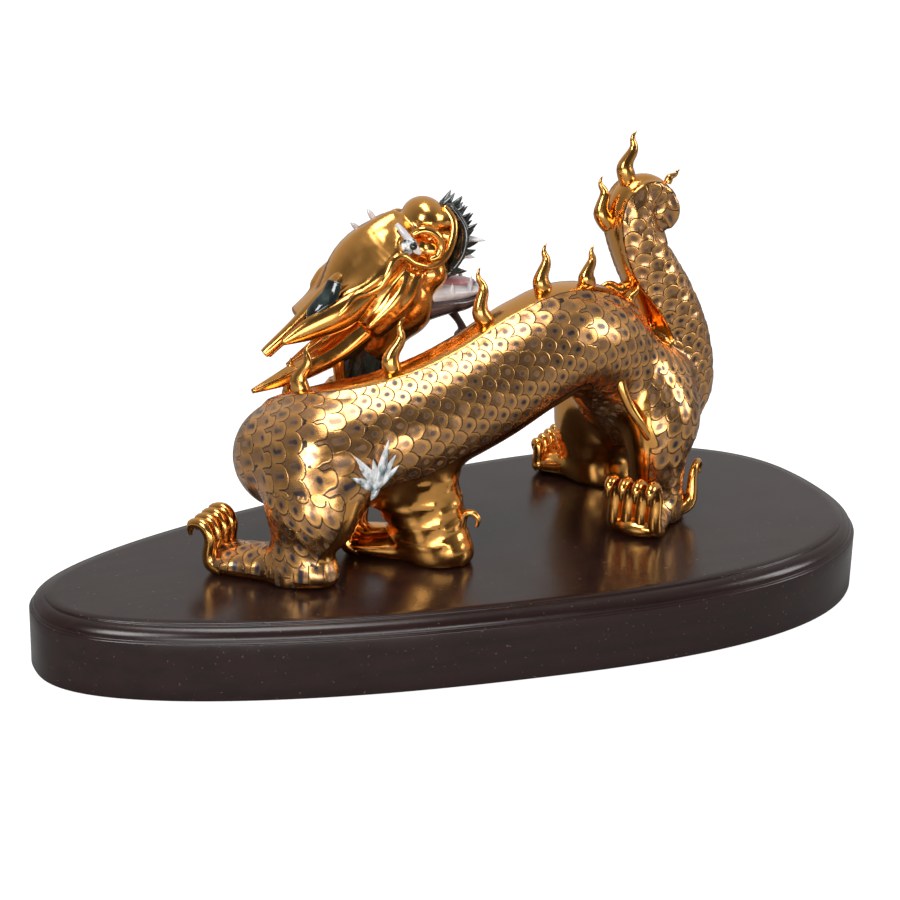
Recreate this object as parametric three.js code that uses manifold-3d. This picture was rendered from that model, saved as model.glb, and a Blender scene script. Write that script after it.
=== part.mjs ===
// Gilt porcelain dragon on an egg-shaped mahogany plinth.
//
// Units are millimetres, +Z is up. The origin is the middle of the plinth's underside, +X runs along the plinth
// towards its broad end and the dragon's tail, and -Y is the side that the dragon's flank is shown from.
//
// The object is two pieces: the plinth, one routed board, and the dragon, one hollow casting that is modelled solid
// and rests on its four feet. The dragon is swept limbs and small ellipsoids that are joined into one solid.
import * as THREE from "three";
import { mergeVertices } from "three/addons/utils/BufferGeometryUtils.js";
import Module from "manifold-3d";

const wasm = await Module();
wasm.setup();

// ---------------------------------------------------------------------------------------------- driving dimensions
const PLINTH_LENGTH = 560;
const PLINTH_WIDTH = 241;
const PLINTH_HEIGHT = 47;
const PLINTH_SQUARENESS = 2.4; // exponent of the outline: 2 is an ellipse, more is squarer
const PLINTH_TAPER = 0.28; // how much broader the +X end is than the middle
const PLINTH_SEGMENTS = 66;
const SIDE_HEIGHT = 38; // the upright side, below the moulding
const LEDGE = 1.8; // flat step between the side and the moulding
const MOULDING = 7.5; // how far the round moulding runs in

const FLOOR = PLINTH_HEIGHT + 0.3; // the dragon stands at this height, a hair clear of the plinth

// The spine, from the tail's tip over the back, round the chest and up the neck: x, y, z, radius, and the compass
// direction in degrees of the body's right side, which keeps the rib upright.
const SPINE = [
  [146, 19, 240, 6, 90],
  [149, 19, 247, 11, 90],
  [145, 20, 257, 11.5, 90],
  [135, 20, 260, 13.5, 90],
  [127, 20, 253, 15.5, 90],
  [128, 20, 238, 17, 90],
  [138, 20, 216, 18.5, 90],
  [152, 20, 194, 19.5, 90],
  [165, 21, 170, 20, 90],
  [173, 23, 146, 21, 90],
  [172, 25, 122, 24, 90],
  [152, 26, 110, 30, 90],
  [126, 18, 137, 34, 90],
  [98, 6, 164, 35.5, 90],
  [70, -3, 174, 35.5, 90],
  [40, -8, 166, 36, 90],
  [10, -11, 152, 36, 90],
  [-22, -13, 140, 36, 90],
  [-55, -12, 130, 37, 80],
  [-86, -4, 122, 38, 55],
  [-106, 18, 112, 36, 5],
  [-98, 48, 101, 31, -45],
  [-68, 62, 104, 25, -80],
  [-48, 61, 128, 19, -90],
  [-43, 60, 150, 16, -90],
  [-38, 58, 176, 18, -90],
];
const SPINE_STEPS = 48;
const SPINE_SIDES = 14;
const RIB_HEIGHT = 2.5; // the smooth rib along the back
const RIB_HALF_WIDTH = 10.5;

// Flames along the rib: spine row, height, lean from the upright towards the tail's tip in degrees.
const FLAMES = [
  [2, 10, -15],
  [3.4, 28, 22],
  [4.7, 27, 60],
  [7, 22, 40],
  [8.7, 16, 40],
  [12.9, 13, -30],
  [13.7, 24, -30],
  [14.3, 28, -8],
  [15.4, 33, -4],
  [17.6, 32, 6],
  [19.4, 29, 4],
  [20.7, 28, 0],
];

// Limbs, from inside the body to the ankle: x, y, z, radius across, radius fore and aft.
const LEGS = {
  near_front: {
    rows: [
      [-100, -16, 118, 34, 34],
      [-110, -26, 94, 28, 31],
      [-113, -27, 78, 20, 24],
      [-117, -27, 62, 16, 18],
      [-118, -27, 52, 15, 16],
    ],
    heel: [-112, -27],
    heading: 134,
    length: 60,
    width: 38,
    claws: 31,
    dewclaw: [-10, 4, 30, 4],
  },
  far_front: {
    rows: [
      [-46, -4, 112, 28, 30],
      [-40, -16, 98, 24, 28],
      [-33, -22, 80, 21, 25],
      [-29, -26, 64, 20, 22],
      [-27, -28, 52, 18, 19],
    ],
    heel: [-26, -29],
    heading: 138,
    length: 56,
    width: 38,
    claws: 33,
    dewclaw: [-12, 0, 34, 13],
  },
  near_rear: {
    rows: [
      [140, 4, 132, 28, 32],
      [140, -10, 116, 26, 30],
      [136, -17, 96, 20, 22],
      [137, -16, 74, 18, 19],
      [139, -15, 54, 18, 19],
    ],
    heel: [141, -13],
    heading: 220,
    length: 42,
    width: 38,
    claws: 38,
    dewclaw: [-4, 21, 36, 16],
  },
  far_rear: {
    rows: [
      [134, 36, 126, 26, 30],
      [130, 50, 108, 26, 32],
      [130, 58, 88, 23, 29],
      [134, 62, 70, 21, 25],
      [137, 62, 54, 22, 24],
    ],
    heel: [140, 62],
    heading: 130,
    length: 42,
    width: 42,
    claws: 33,
    dewclaw: [-6, -16, 30, 12],
  },
};
const TOES = 4;

// The head's parts. Sweeps are x, y, z, radius across, radius up.
const HEAD_UP = [-0.68, 0, 0.73];
const SKULL = [
  [-68, 58, 189, 10, 7],
  [-58, 58, 201, 18, 15],
  [-42, 58, 216, 24, 23],
  [-26, 58, 230, 24, 18],
  [-12, 56, 238, 15, 11],
];
const BALLS = [
  { centre: [-23, 55, 192], radii: [27, 23, 25] }, // cheeks
  { centre: [-4, 55, 246], radii: [14, 17, 14] }, // nose
  { centre: [-4, 49, 229], radii: [13, 15, 12] }, // curl under the eye
  { centre: [6, 55, 232], radii: [13, 14, 16] }, // upper lip
  { centre: [-2, 54, 212], radii: [14, 18, 14] }, // corner of the mouth
];
const JAW = [
  [-14, 54, 190, 17, 14],
  [8, 54, 193, 15, 10],
  [24, 54, 193, 12, 7],
  [38, 54, 196, 8, 3.5],
];
const FRINGE = [
  [12, 55, 254, 10, 3],
  [20, 55, 240, 15, 4],
  [18, 55, 222, 15, 4],
  [6, 55, 205, 10, 4],
];
const STRANDS = [
  // near horn, far horn
  [[-58, 50, 214, 7], [-76, 46, 202, 6], [-97, 44, 186, 4], [-116, 44, 171, 3.2]],
  [[-50, 66, 205, 7], [-66, 68, 192, 6], [-87, 68, 177, 4], [-106, 66, 163, 3.2]],
  // near ear, far ear
  [[-48, 34, 208, 6, 5], [-66, 31, 197, 10, 4.5], [-88, 31, 189, 8, 3.5], [-108, 32, 181, 2, 1.5]],
  [[-40, 74, 198, 6, 5], [-52, 76, 188, 9, 4.5], [-68, 77, 180, 7, 3.5], [-82, 76, 170, 2, 1.5]],
  // locks behind the cheek
  [[-48, 50, 178, 12], [-66, 48, 166, 8.5], [-94, 46, 155, 6.5], [-124, 44, 147, 1.5]],
  [[-50, 60, 184, 10], [-66, 60, 172, 6], [-82, 60, 163, 3.5], [-95, 60, 156, 1.2]],
];

// ------------------------------------------------------------------------------------------------- general helpers
const rad = (degrees) => (degrees * Math.PI) / 180;
const mix = (a, b, t) => a + (b - a) * t;
const bump = (x) => (Math.abs(x) < 1 ? 0.5 + 0.5 * Math.cos(Math.PI * x) : 0);

// A row of numbers at t, from 0 to 1, on the smooth curve through the rows.
function along(rows, t) {
  const last = rows.length - 1;
  const s = Math.min(Math.max(t, 0), 1) * last;
  const i = Math.min(Math.floor(s), last - 1);
  const u = s - i;
  const p = [i - 1, i, i + 1, i + 2].map((k) => rows[Math.min(Math.max(k, 0), last)]);
  return p[1].map((_, c) => {
    const [a, b, d, e] = p.map((row) => row[c]);
    return 0.5 * (2 * b + (d - a) * u + (2 * a - 5 * b + 4 * d - e) * u * u + (3 * b - a - 3 * d + e) * u * u * u);
  });
}

// A closed mesh as a manifold-3d solid.
function solid(geometry) {
  const bare = geometry.clone();
  bare.deleteAttribute("normal");
  bare.deleteAttribute("uv");
  const merged = mergeVertices(bare, 1e-4);
  return new wasm.Manifold(
    new wasm.Mesh({
      numProp: 3,
      vertProperties: merged.attributes.position.array,
      triVerts: new Uint32Array(merged.index.array),
    }),
  );
}

function geometryOf(made) {
  const mesh = made.getMesh();
  const positions = new Float32Array(mesh.numVert * 3);
  for (let i = 0; i < mesh.numVert; i++) {
    positions.set(mesh.vertProperties.subarray(i * mesh.numProp, i * mesh.numProp + 3), i * 3);
  }
  const geometry = new THREE.BufferGeometry();
  geometry.setAttribute("position", new THREE.BufferAttribute(positions, 3));
  geometry.setIndex(new THREE.BufferAttribute(mesh.triVerts, 1));
  return geometry;
}

// A closed solid from rings of points: ring by ring, with a fan at each end.
function skin(rings) {
  const sides = rings[0].length;
  const points = rings.flat();
  const centre = (ring) => ring.reduce((sum, p) => sum.add(p), new THREE.Vector3()).divideScalar(sides);
  points.push(centre(rings[0]), centre(rings.at(-1)));
  const faces = [];
  const first = points.length - 2;
  for (let j = 0; j < sides; j++) {
    const next = (j + 1) % sides;
    faces.push(first, next, j);
    for (let i = 0; i + 1 < rings.length; i++) {
      const a = i * sides;
      const b = a + sides;
      faces.push(a + j, a + next, b + next, a + j, b + next, b + j);
    }
    const top = (rings.length - 1) * sides;
    faces.push(first + 1, top + j, top + next);
  }
  const geometry = new THREE.BufferGeometry();
  geometry.setAttribute("position", new THREE.Float32BufferAttribute(points.flatMap((p) => p.toArray()), 3));
  geometry.setIndex(faces);
  return solid(geometry);
}

// Sweeps a round section along rows of x, y, z, radius across and, if given, radius up.
// section(angle, t) adds to the radius; angle 0 is the up side. up starts as given and follows the path without
// twist, or is a function of t.
function sweep(rows, { sides = 8, steps = 8, up = [0, 0, 1], section = null } = {}) {
  const rings = [];
  const side = new THREE.Vector3();
  let lift = Array.isArray(up) ? new THREE.Vector3(...up) : null;
  for (let i = 0; i <= steps; i++) {
    const t = i / steps;
    const here = along(rows, t);
    const ahead = new THREE.Vector3(...along(rows, Math.min(t + 0.002, 1)));
    const behind = new THREE.Vector3(...along(rows, Math.max(t - 0.002, 0)));
    const tangent = ahead.sub(behind).normalize();
    if (!Array.isArray(up)) lift = up(t);
    lift = lift.addScaledVector(tangent, -lift.dot(tangent)).normalize();
    side.crossVectors(tangent, lift);
    const across = Math.max(here[3], 0.3);
    const tall = Math.max(here[4] ?? here[3], 0.3);
    const ring = [];
    for (let j = 0; j < sides; j++) {
      const angle = (2 * Math.PI * j) / sides;
      const grow = section ? section(angle, t) : 0;
      const point = new THREE.Vector3(here[0], here[1], here[2]);
      point.addScaledVector(lift, Math.cos(angle) * (tall + grow));
      point.addScaledVector(side, Math.sin(angle) * (across + grow));
      ring.push(point);
    }
    rings.push(ring);
  }
  return skin(rings);
}

function ellipsoid(centre, radii, turn = null, detail = 9) {
  const geometry = new THREE.SphereGeometry(1, detail, Math.round(detail * 0.7));
  geometry.scale(...radii);
  if (turn) geometry.applyMatrix4(turn);
  geometry.translate(...centre);
  return solid(geometry);
}

const join = (solids) => solids.reduce((sum, s) => sum.add(s));

// ---------------------------------------------------------------------------------------------------------- plinth
// A point of the plinth's outline, moved in by inset, at height z.
function plinthPoint(angle, inset, z) {
  const power = 2 / PLINTH_SQUARENESS;
  const at = (a) => {
    const c = Math.cos(a);
    const s = Math.sin(a);
    const x = Math.sign(c) * Math.abs(c) ** power;
    const y = Math.sign(s) * Math.abs(s) ** power * (1 + PLINTH_TAPER * x);
    return [(PLINTH_LENGTH / 2) * x, (PLINTH_WIDTH / 2) * y];
  };
  const [x, y] = at(angle);
  const [x0, y0] = at(angle - 0.01);
  const [x1, y1] = at(angle + 0.01);
  const length = Math.hypot(x1 - x0, y1 - y0);
  return new THREE.Vector3(x - (inset * (y1 - y0)) / length, y + (inset * (x1 - x0)) / length, z);
}

function plinth() {
  const levels = [
    [1.2, 0],
    [0, 1.2],
    [0, SIDE_HEIGHT - 0.6],
    [0.6, SIDE_HEIGHT],
    [LEDGE, SIDE_HEIGHT],
  ];
  const quarters = 4;
  for (let i = 1; i <= quarters; i++) {
    const turn = (Math.PI / 2) * (i / quarters);
    levels.push([LEDGE + MOULDING * (1 - Math.cos(turn)), SIDE_HEIGHT + (PLINTH_HEIGHT - 1.5 - SIDE_HEIGHT) * Math.sin(turn)]);
  }
  levels.push([LEDGE + MOULDING, PLINTH_HEIGHT]);
  const rings = levels.map(([inset, z]) => {
    const ring = [];
    for (let j = 0; j < PLINTH_SEGMENTS; j++) ring.push(plinthPoint((2 * Math.PI * (j + 0.5)) / PLINTH_SEGMENTS, inset, z));
    return ring;
  });
  return skin(rings);
}

// ---------------------------------------------------------------------------------------------------------- dragon
// The spine's place, radius, forward along the path, and up, which is the side with the rib.
function spineFrame(row) {
  const t = row / (SPINE.length - 1);
  const here = along(SPINE, t);
  const ahead = new THREE.Vector3(...along(SPINE, Math.min(t + 0.002, 1)));
  const behind = new THREE.Vector3(...along(SPINE, Math.max(t - 0.002, 0)));
  const forward = ahead.sub(behind).normalize();
  const right = new THREE.Vector3(Math.cos(rad(here[4])), Math.sin(rad(here[4])), 0);
  const up = right.cross(forward).normalize();
  return { place: new THREE.Vector3(...here), radius: here[3], forward, up };
}

function body() {
  const section = (angle, t) => {
    const fromBack = Math.atan2(Math.sin(angle), Math.cos(angle));
    return RIB_HEIGHT * bump((fromBack * along(SPINE, t)[3]) / RIB_HALF_WIDTH / 1.6);
  };
  const rows = SPINE.map((row) => row.slice(0, 4));
  const up = (t) => spineFrame(t * (SPINE.length - 1)).up;
  return sweep(rows, { sides: SPINE_SIDES, steps: SPINE_STEPS, up, section });
}

// One flame: how high up it, how far it bends towards the tail, and its radius.
const FLAME_SHAPE = [
  [-0.15, 0, 1],
  [0.1, -0.04, 1],
  [0.3, -0.1, 0.9],
  [0.46, 0.12, 0.66],
  [0.62, 0.34, 0.5],
  [0.8, 0.32, 0.36],
  [1, 0.42, 0.08],
];

function flame([row, height, lean]) {
  const { place, radius, forward, up } = spineFrame(row);
  const rise = up.clone().multiplyScalar(Math.cos(rad(lean))).addScaledVector(forward, -Math.sin(rad(lean)));
  const bend = up.clone().multiplyScalar(-Math.sin(rad(lean))).addScaledVector(forward, -Math.cos(rad(lean)));
  const base = place.addScaledVector(up, radius + RIB_HEIGHT - 1);
  const girth = Math.min(5.2, height * 0.24);
  const rows = FLAME_SHAPE.map(([s, b, r]) => {
    const point = base.clone().addScaledVector(rise, s * height).addScaledVector(bend, b * height);
    return [...point.toArray(), r * girth];
  });
  return sweep(rows, { sides: 5, steps: 7, up: bend.toArray() });
}

function head() {
  const solids = [sweep(SKULL, { sides: 11, steps: 6, up: HEAD_UP })];
  solids.push(...BALLS.map(({ centre, radii }) => ellipsoid(centre, radii)));
  solids.push(sweep(JAW, { sides: 10, steps: 5 }));
  solids.push(sweep(FRINGE, { sides: 8, steps: 5, up: [1, 0, 0] }));
  solids.push(...STRANDS.map((rows) => sweep(rows, { sides: 6, steps: 5 })));
  return join(solids);
}

// A leg with its foot. claws is the height of the toes' claws; dewclaw is where the one at the heel stands, fore and
// sideways, how high it is and how far it hooks back.
function leg({ rows, heel, heading, length, width, claws, dewclaw }) {
  const ahead = new THREE.Vector3(Math.cos(rad(heading)), Math.sin(rad(heading)), 0);
  const across = new THREE.Vector3(-ahead.y, ahead.x, 0);
  // a point in the foot's own frame: fore, sideways, up
  const place = (f, l, z) => [heel[0] + ahead.x * f + across.x * l, heel[1] + ahead.y * f + across.y * l, FLOOR + z];
  const solids = [sweep(rows, { sides: 10, steps: 6, up: ahead.toArray() })];
  const half = width / 2;
  const foot = [
    [...place(-16, 0, 6), half * 0.5, 7],
    [...place(-9, 0, 8), half * 0.85, 12],
    [...place(4, 0, 9), half * 0.85, 14],
    [...place(length * 0.55, 0, 7), half * 0.92, 11],
    [...place(length * 0.9, 0, 6), half, 9],
    [...place(length, 0, 6), half * 0.9, 6],
  ];
  solids.push(sweep(foot, { sides: 10, steps: 6 }));
  const claw = [
    [-8, 4, 4.5],
    [-1, 6, 5],
    [1, claws * 0.4, 4.4],
    [0, claws * 0.76, 4.2],
    [5, claws, 3.9],
    [13, claws * 0.97, 3],
    [14, claws * 0.74, 1.2],
  ];
  for (let i = 0; i < TOES; i++) {
    const l = mix(-half + 5, half - 5, i / (TOES - 1));
    const rows = claw.map(([f, z, r]) => [...place(length + f, l, z), r]);
    solids.push(sweep(rows, { sides: 5, steps: 7, up: ahead.toArray() }));
  }
  const [fore, side, high, hook] = dewclaw;
  const spur = [
    [0.7, 0.15, 4],
    [0, 0.3, 4.4],
    [-0.2, 0.75, 3.2],
    [-0.4, 0.96, 2.6],
    [-0.8, 1, 2.2],
    [-1.05, 0.9, 1.8],
    [-1, 0.75, 1],
  ].map(([f, z, r], i) => [...place(fore + f * hook, i ? side : side * 0.6, z * high), r]);
  solids.push(sweep(spur, { sides: 5, steps: 7, up: ahead.toArray() }));
  return join(solids);
}

// ------------------------------------------------------------------------------------------------------- assembly
const gilt = new THREE.MeshStandardMaterial({ color: 0xb8803a, roughness: 0.25, metalness: 0.9 });
const wood = new THREE.MeshStandardMaterial({ color: 0x2a1614, roughness: 0.35, metalness: 0 });

function piece(name, made, material) {
  const mesh = new THREE.Mesh(geometryOf(made), material);
  mesh.name = name;
  return mesh;
}

const floorCut = (() => {
  const box = new THREE.BoxGeometry(800, 800, 100);
  box.translate(0, 0, FLOOR - 50);
  return solid(box);
})();

const dragon = join([body(), ...Object.values(LEGS).map(leg), ...FLAMES.map(flame), head()]).subtract(floorCut);

const group = new THREE.Group();
group.add(piece("plinth", plinth(), wood));
group.add(piece("dragon", dragon, gilt));
export default group;
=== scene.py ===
"""A gilt porcelain dragon on an egg-shaped mahogany plinth, built over its CAD frame.

Shapes are worked out in millimetres, as in the CAD, and become metres when a mesh is made.
"""

import math

import bpy
import numpy as np
import openvdb
from mathutils import Matrix, Vector


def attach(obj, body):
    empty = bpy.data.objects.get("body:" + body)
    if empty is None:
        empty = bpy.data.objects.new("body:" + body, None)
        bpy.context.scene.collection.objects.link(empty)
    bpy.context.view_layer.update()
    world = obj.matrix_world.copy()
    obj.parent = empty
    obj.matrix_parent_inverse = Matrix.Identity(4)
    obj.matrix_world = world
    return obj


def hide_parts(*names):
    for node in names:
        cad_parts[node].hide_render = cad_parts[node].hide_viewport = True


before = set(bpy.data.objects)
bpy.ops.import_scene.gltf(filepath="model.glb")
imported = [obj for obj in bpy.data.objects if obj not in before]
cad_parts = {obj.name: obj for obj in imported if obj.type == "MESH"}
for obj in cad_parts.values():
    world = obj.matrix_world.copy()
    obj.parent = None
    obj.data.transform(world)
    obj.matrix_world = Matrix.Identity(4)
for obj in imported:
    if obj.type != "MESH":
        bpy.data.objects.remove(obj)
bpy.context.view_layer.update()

# ----------------------------------------------------------- shared dimensions
PLINTH_LENGTH = 560
PLINTH_WIDTH = 241
PLINTH_HEIGHT = 47
PLINTH_SQUARENESS = 2.4
PLINTH_TAPER = 0.28
SIDE_HEIGHT = 38
LEDGE = 1.8
MOULDING = 7.5
FLOOR = PLINTH_HEIGHT + 0.3

# The spine, from the tail's tip over the back, round the chest and up the neck: x, y, z, radius, and the
# compass direction in degrees of the body's right side.
SPINE = [
    (146, 19, 240, 6, 90),
    (149, 19, 247, 11, 90),
    (145, 20, 257, 11.5, 90),
    (135, 20, 260, 13.5, 90),
    (127, 20, 253, 15.5, 90),
    (128, 20, 238, 17, 90),
    (138, 20, 216, 18.5, 90),
    (152, 20, 194, 19.5, 104),
    (165, 21, 170, 20, 110),
    (173, 23, 146, 21, 106),
    (172, 25, 122, 24, 97),
    (152, 26, 110, 30, 90),
    (126, 18, 137, 34, 90),
    (98, 6, 164, 35.5, 90),
    (70, -3, 174, 35.5, 90),
    (40, -8, 166, 36, 90),
    (10, -11, 152, 36, 90),
    (-22, -13, 140, 36, 90),
    (-55, -12, 130, 37, 80),
    (-86, -4, 122, 38, 55),
    (-106, 18, 112, 36, 5),
    (-98, 48, 101, 31, -45),
    (-68, 62, 104, 25, -80),
    (-48, 61, 128, 19, -90),
    (-43, 60, 150, 16, -90),
    (-38, 58, 176, 18, -90),
]
RIB_HEIGHT = 2.0
RIB_HALF_WIDTH = 10.5

# Flames along the rib: spine row, height, lean from the upright towards the tail's tip in degrees.
FLAMES = [
    (2, 10, -15),
    (3.4, 28, 22),
    (4.6, 28, 66),
    (6.4, 22, 25),
    (7.9, 15, 35),
    (12.9, 13, -30),
    (13.7, 24, -30),
    (14.3, 28, -8),
    (15.4, 33, -4),
    (17.6, 32, 6),
    (19.4, 29, 4),
    (20.7, 28, 0),
]
FLAME_SHAPE = [
    (-0.15, 0.02, 1.05),
    (0.06, 0, 1.15),
    (0.24, 0, 1.08),
    (0.4, 0.1, 0.82),
    (0.54, 0.24, 0.68),
    (0.68, 0.3, 0.5),
    (0.82, 0.29, 0.36),
    (0.93, 0.33, 0.22),
    (1, 0.42, 0.06),
]

# Legs: rows of x, y, z, radius across, radius fore and aft; the foot's heel, heading, length and width;
# the claws' height; the dewclaw; and where the smooth inner side faces and how far round it goes, in degrees.
LEGS = {
    "near_front": dict(
        rows=[
            (-100, -16, 118, 34, 34),
            (-109, -26, 95, 28, 31),
            (-115, -28, 79, 19, 23),
            (-123, -29, 63, 13, 16),
            (-126, -29, 52, 11, 13),
        ],
        heel=(-117, -30),
        heading=134,
        length=57,
        width=38,
        claws=31,
        dewclaw=(-10, 4, 30, 4),
        inner=(-25, 48),
    ),
    "far_front": dict(
        rows=[
            (-46, -4, 112, 28, 30),
            (-40, -16, 98, 24, 28),
            (-33, -22, 80, 21, 25),
            (-29, -26, 64, 20, 22),
            (-27, -28, 52, 18, 19),
        ],
        heel=(-26, -29),
        heading=138,
        length=56,
        width=38,
        claws=33,
        dewclaw=(-12, 0, 34, 13),
        inner=(-90, 130),
    ),
    "near_rear": dict(
        rows=[
            (140, 4, 132, 28, 32),
            (140, -10, 116, 26, 30),
            (136, -17, 96, 20, 22),
            (137, -16, 74, 18, 19),
            (139, -15, 54, 18, 19),
        ],
        heel=(141, -13),
        heading=220,
        length=42,
        width=38,
        claws=38,
        dewclaw=(-4, 21, 36, 16),
        inner=(165, 62),
    ),
    "far_rear": dict(
        rows=[
            (134, 36, 126, 26, 30),
            (130, 50, 108, 26, 32),
            (130, 58, 88, 23, 29),
            (134, 62, 70, 21, 25),
            (137, 62, 54, 22, 24),
        ],
        heel=(140, 62),
        heading=130,
        length=42,
        width=42,
        claws=33,
        dewclaw=(-6, -16, 30, 12),
        inner=(225, 110),
    ),
}
TOES = 4

HEAD_UP = (-0.68, 0, 0.73)
SKULL = [
    (-68, 58, 189, 10, 7),
    (-58, 58, 201, 18, 15),
    (-42, 58, 216, 24, 23),
    (-26, 58, 230, 24, 18),
    (-12, 56, 238, 15, 11),
]

SCALE_WIDTH = 11.4
SCALE_PITCH = 0.65  # rows of scales, as a share of their width
SCALE_RADIUS = 0.57

# --------------------------------------------------------------------- helpers
BODY_VOXEL = 2.1
HEAD_VOXEL = 1.35


def rad(degrees):
    return math.radians(degrees)


def unit(v):
    v = np.asarray(v, float)
    return v / np.maximum(np.linalg.norm(v, axis=-1, keepdims=True), 1e-9)


def along(rows, t):
    """Rows of numbers at t, from 0 to 1 (an array), on the smooth curve through them."""
    widest = max(len(row) for row in rows)
    rows = np.array([[*row, *[row[-1]] * (widest - len(row))] for row in rows], float)
    last = len(rows) - 1
    s = np.clip(np.atleast_1d(t), 0, 1) * last
    i = np.minimum(np.floor(s).astype(int), last - 1)
    u = (s - i)[:, None]
    a, b, c, d = (rows[np.clip(i + k, 0, last)] for k in (-1, 0, 1, 2))
    return 0.5 * (
        2 * b + (c - a) * u + (2 * a - 5 * b + 4 * c - d) * u**2 + (3 * b - a - 3 * c + d) * u**3
    )


class Path:
    """A sampled centreline with radii and a frame at each sample."""

    def __init__(self, rows, samples, up=None, sides=None):
        self.t = np.linspace(0, 1, samples)
        values = along(rows, self.t)
        self.place = values[:, :3]
        self.across = np.maximum(values[:, 3], 0.2)
        self.tall = np.maximum(
            values[:, 4] if values.shape[1] > 4 and sides is None else values[:, 3],
            0.2,
        )
        self.forward = unit(np.gradient(self.place, axis=0))
        self.length = np.concatenate(
            [[0], np.cumsum(np.linalg.norm(np.diff(self.place, axis=0), axis=1))]
        )
        if sides is not None:
            angle = np.radians(values[:, sides])
            right = np.stack([np.cos(angle), np.sin(angle), 0 * angle], 1)
            self.up = unit(np.cross(right, self.forward))
        else:
            lift = np.asarray(up if up is not None else (0, 0, 1), float)
            ups = []
            for f in self.forward:
                lift = unit(lift - f * (lift @ f))
                ups.append(lift)
            self.up = np.array(ups)
        self.side = np.cross(self.forward, self.up)

    def nearest(self, points):
        """For each point: the share of the way between samples, as a float index."""
        best = np.full(len(points), np.inf)
        index = np.zeros(len(points))
        for i in range(len(self.place) - 1):
            a, b = self.place[i], self.place[i + 1]
            d = b - a
            u = np.clip(((points - a) @ d) / (d @ d), 0, 1)
            gap = points - (a + u[:, None] * d)
            dist = np.einsum("ij,ij->i", gap, gap)
            closer = dist < best
            best[closer] = dist[closer]
            index[closer] = i + u[closer]
        return index

    def at(self, values, index):
        i = np.minimum(index.astype(int), len(values) - 2)
        u = index - i
        if values.ndim > 1:
            u = u[:, None]
        return values[i] * (1 - u) + values[i + 1] * u


class Field:
    """Distances on a grid of voxels, in millimetres, negative inside."""

    def __init__(self, low, high, voxel):
        self.low = np.asarray(low, float)
        self.voxel = voxel
        self.size = np.ceil((np.asarray(high, float) - self.low) / voxel).astype(int) + 1
        self.values = np.full(self.size, 30.0, np.float32)

    def window(self, low, high):
        a = np.clip(np.floor((low - self.low) / self.voxel).astype(int), 0, self.size - 1)
        b = np.clip(np.ceil((high - self.low) / self.voxel).astype(int) + 1, 1, self.size)
        axes = [self.low[k] + self.voxel * np.arange(a[k], b[k]) for k in range(3)]
        return tuple(slice(a[k], b[k]) for k in range(3)), np.meshgrid(*axes, indexing="ij", sparse=True)

    def tube(self, path, margin=9):
        """Adds a swept oval, with hard joins to what is there."""
        for i in range(len(path.place) - 1):
            a, b = path.place[i], path.place[i + 1]
            reach = max(path.across[i], path.across[i + 1], path.tall[i], path.tall[i + 1]) + margin
            where, (x, y, z) = self.window(np.minimum(a, b) - reach, np.maximum(a, b) + reach)
            if any(s.start >= s.stop for s in where):
                continue
            d = b - a
            gx, gy, gz = x - a[0], y - a[1], z - a[2]
            u = np.clip((gx * d[0] + gy * d[1] + gz * d[2]) / max(d @ d, 1e-9), 0, 1)
            gx, gy, gz = gx - u * d[0], gy - u * d[1], gz - u * d[2]
            ra = path.across[i] + u * (path.across[i + 1] - path.across[i])
            rb = path.tall[i] + u * (path.tall[i + 1] - path.tall[i])
            length = np.sqrt(gx * gx + gy * gy + gz * gz) + 1e-6
            if np.allclose(path.across, path.tall):
                dist = length - ra
            else:
                side, up = path.side[i], path.up[i]
                s = (gx * side[0] + gy * side[1] + gz * side[2]) / ra
                t = (gx * up[0] + gy * up[1] + gz * up[2]) / rb
                rest = np.maximum(length**2 - (s * ra) ** 2 - (t * rb) ** 2, 0)
                q = np.sqrt(s * s + t * t + rest / np.minimum(ra, rb) ** 2) + 1e-6
                dist = (q - 1) * length / q
            self.values[where] = np.minimum(self.values[where], dist.astype(np.float32))
        return self

    def ball(self, centre, radii, join=0, margin=8):
        centre, radii = np.asarray(centre, float), np.asarray(radii, float)
        where, (x, y, z) = self.window(centre - radii - margin, centre + radii + margin)
        gx, gy, gz = x - centre[0], y - centre[1], z - centre[2]
        length = np.sqrt(gx * gx + gy * gy + gz * gz) + 1e-6
        q = np.sqrt((gx / radii[0]) ** 2 + (gy / radii[1]) ** 2 + (gz / radii[2]) ** 2) + 1e-6
        dist = ((q - 1) * length / q).astype(np.float32)
        self.values[where] = smooth_min(self.values[where], dist, join)
        return self

    def add(self, other, join):
        self.values = smooth_min(self.values, other.values, join)
        return self

    def blank(self):
        new = Field.__new__(Field)
        new.low, new.voxel, new.size = self.low, self.voxel, self.size
        new.values = np.full(self.size, 30.0, np.float32)
        return new

    def cut(self, other, join):
        self.values = -smooth_min(-self.values, other.values, join)
        return self

    def sample(self, points):
        g = np.clip((points - self.low) / self.voxel, 0, self.size - 1.001)
        i = g.astype(int)
        u = g - i
        total = 0
        for dx in (0, 1):
            for dy in (0, 1):
                for dz in (0, 1):
                    w = (
                        (u[:, 0] if dx else 1 - u[:, 0])
                        * (u[:, 1] if dy else 1 - u[:, 1])
                        * (u[:, 2] if dz else 1 - u[:, 2])
                    )
                    total = total + w * self.values[i[:, 0] + dx, i[:, 1] + dy, i[:, 2] + dz]
        return total

    def mesh(self):
        grid = openvdb.FloatGrid(30.0)
        grid.copyFromArray(self.values)
        points, quads = grid.convertToQuads(0.0)
        return points.astype(float) * self.voxel + self.low, quads.astype(int)


def smooth_min(a, b, k):
    if k <= 0:
        return np.minimum(a, b)
    h = np.maximum(k - np.abs(a - b), 0) / k
    return np.minimum(a, b) - h * h * k * 0.25


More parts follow.
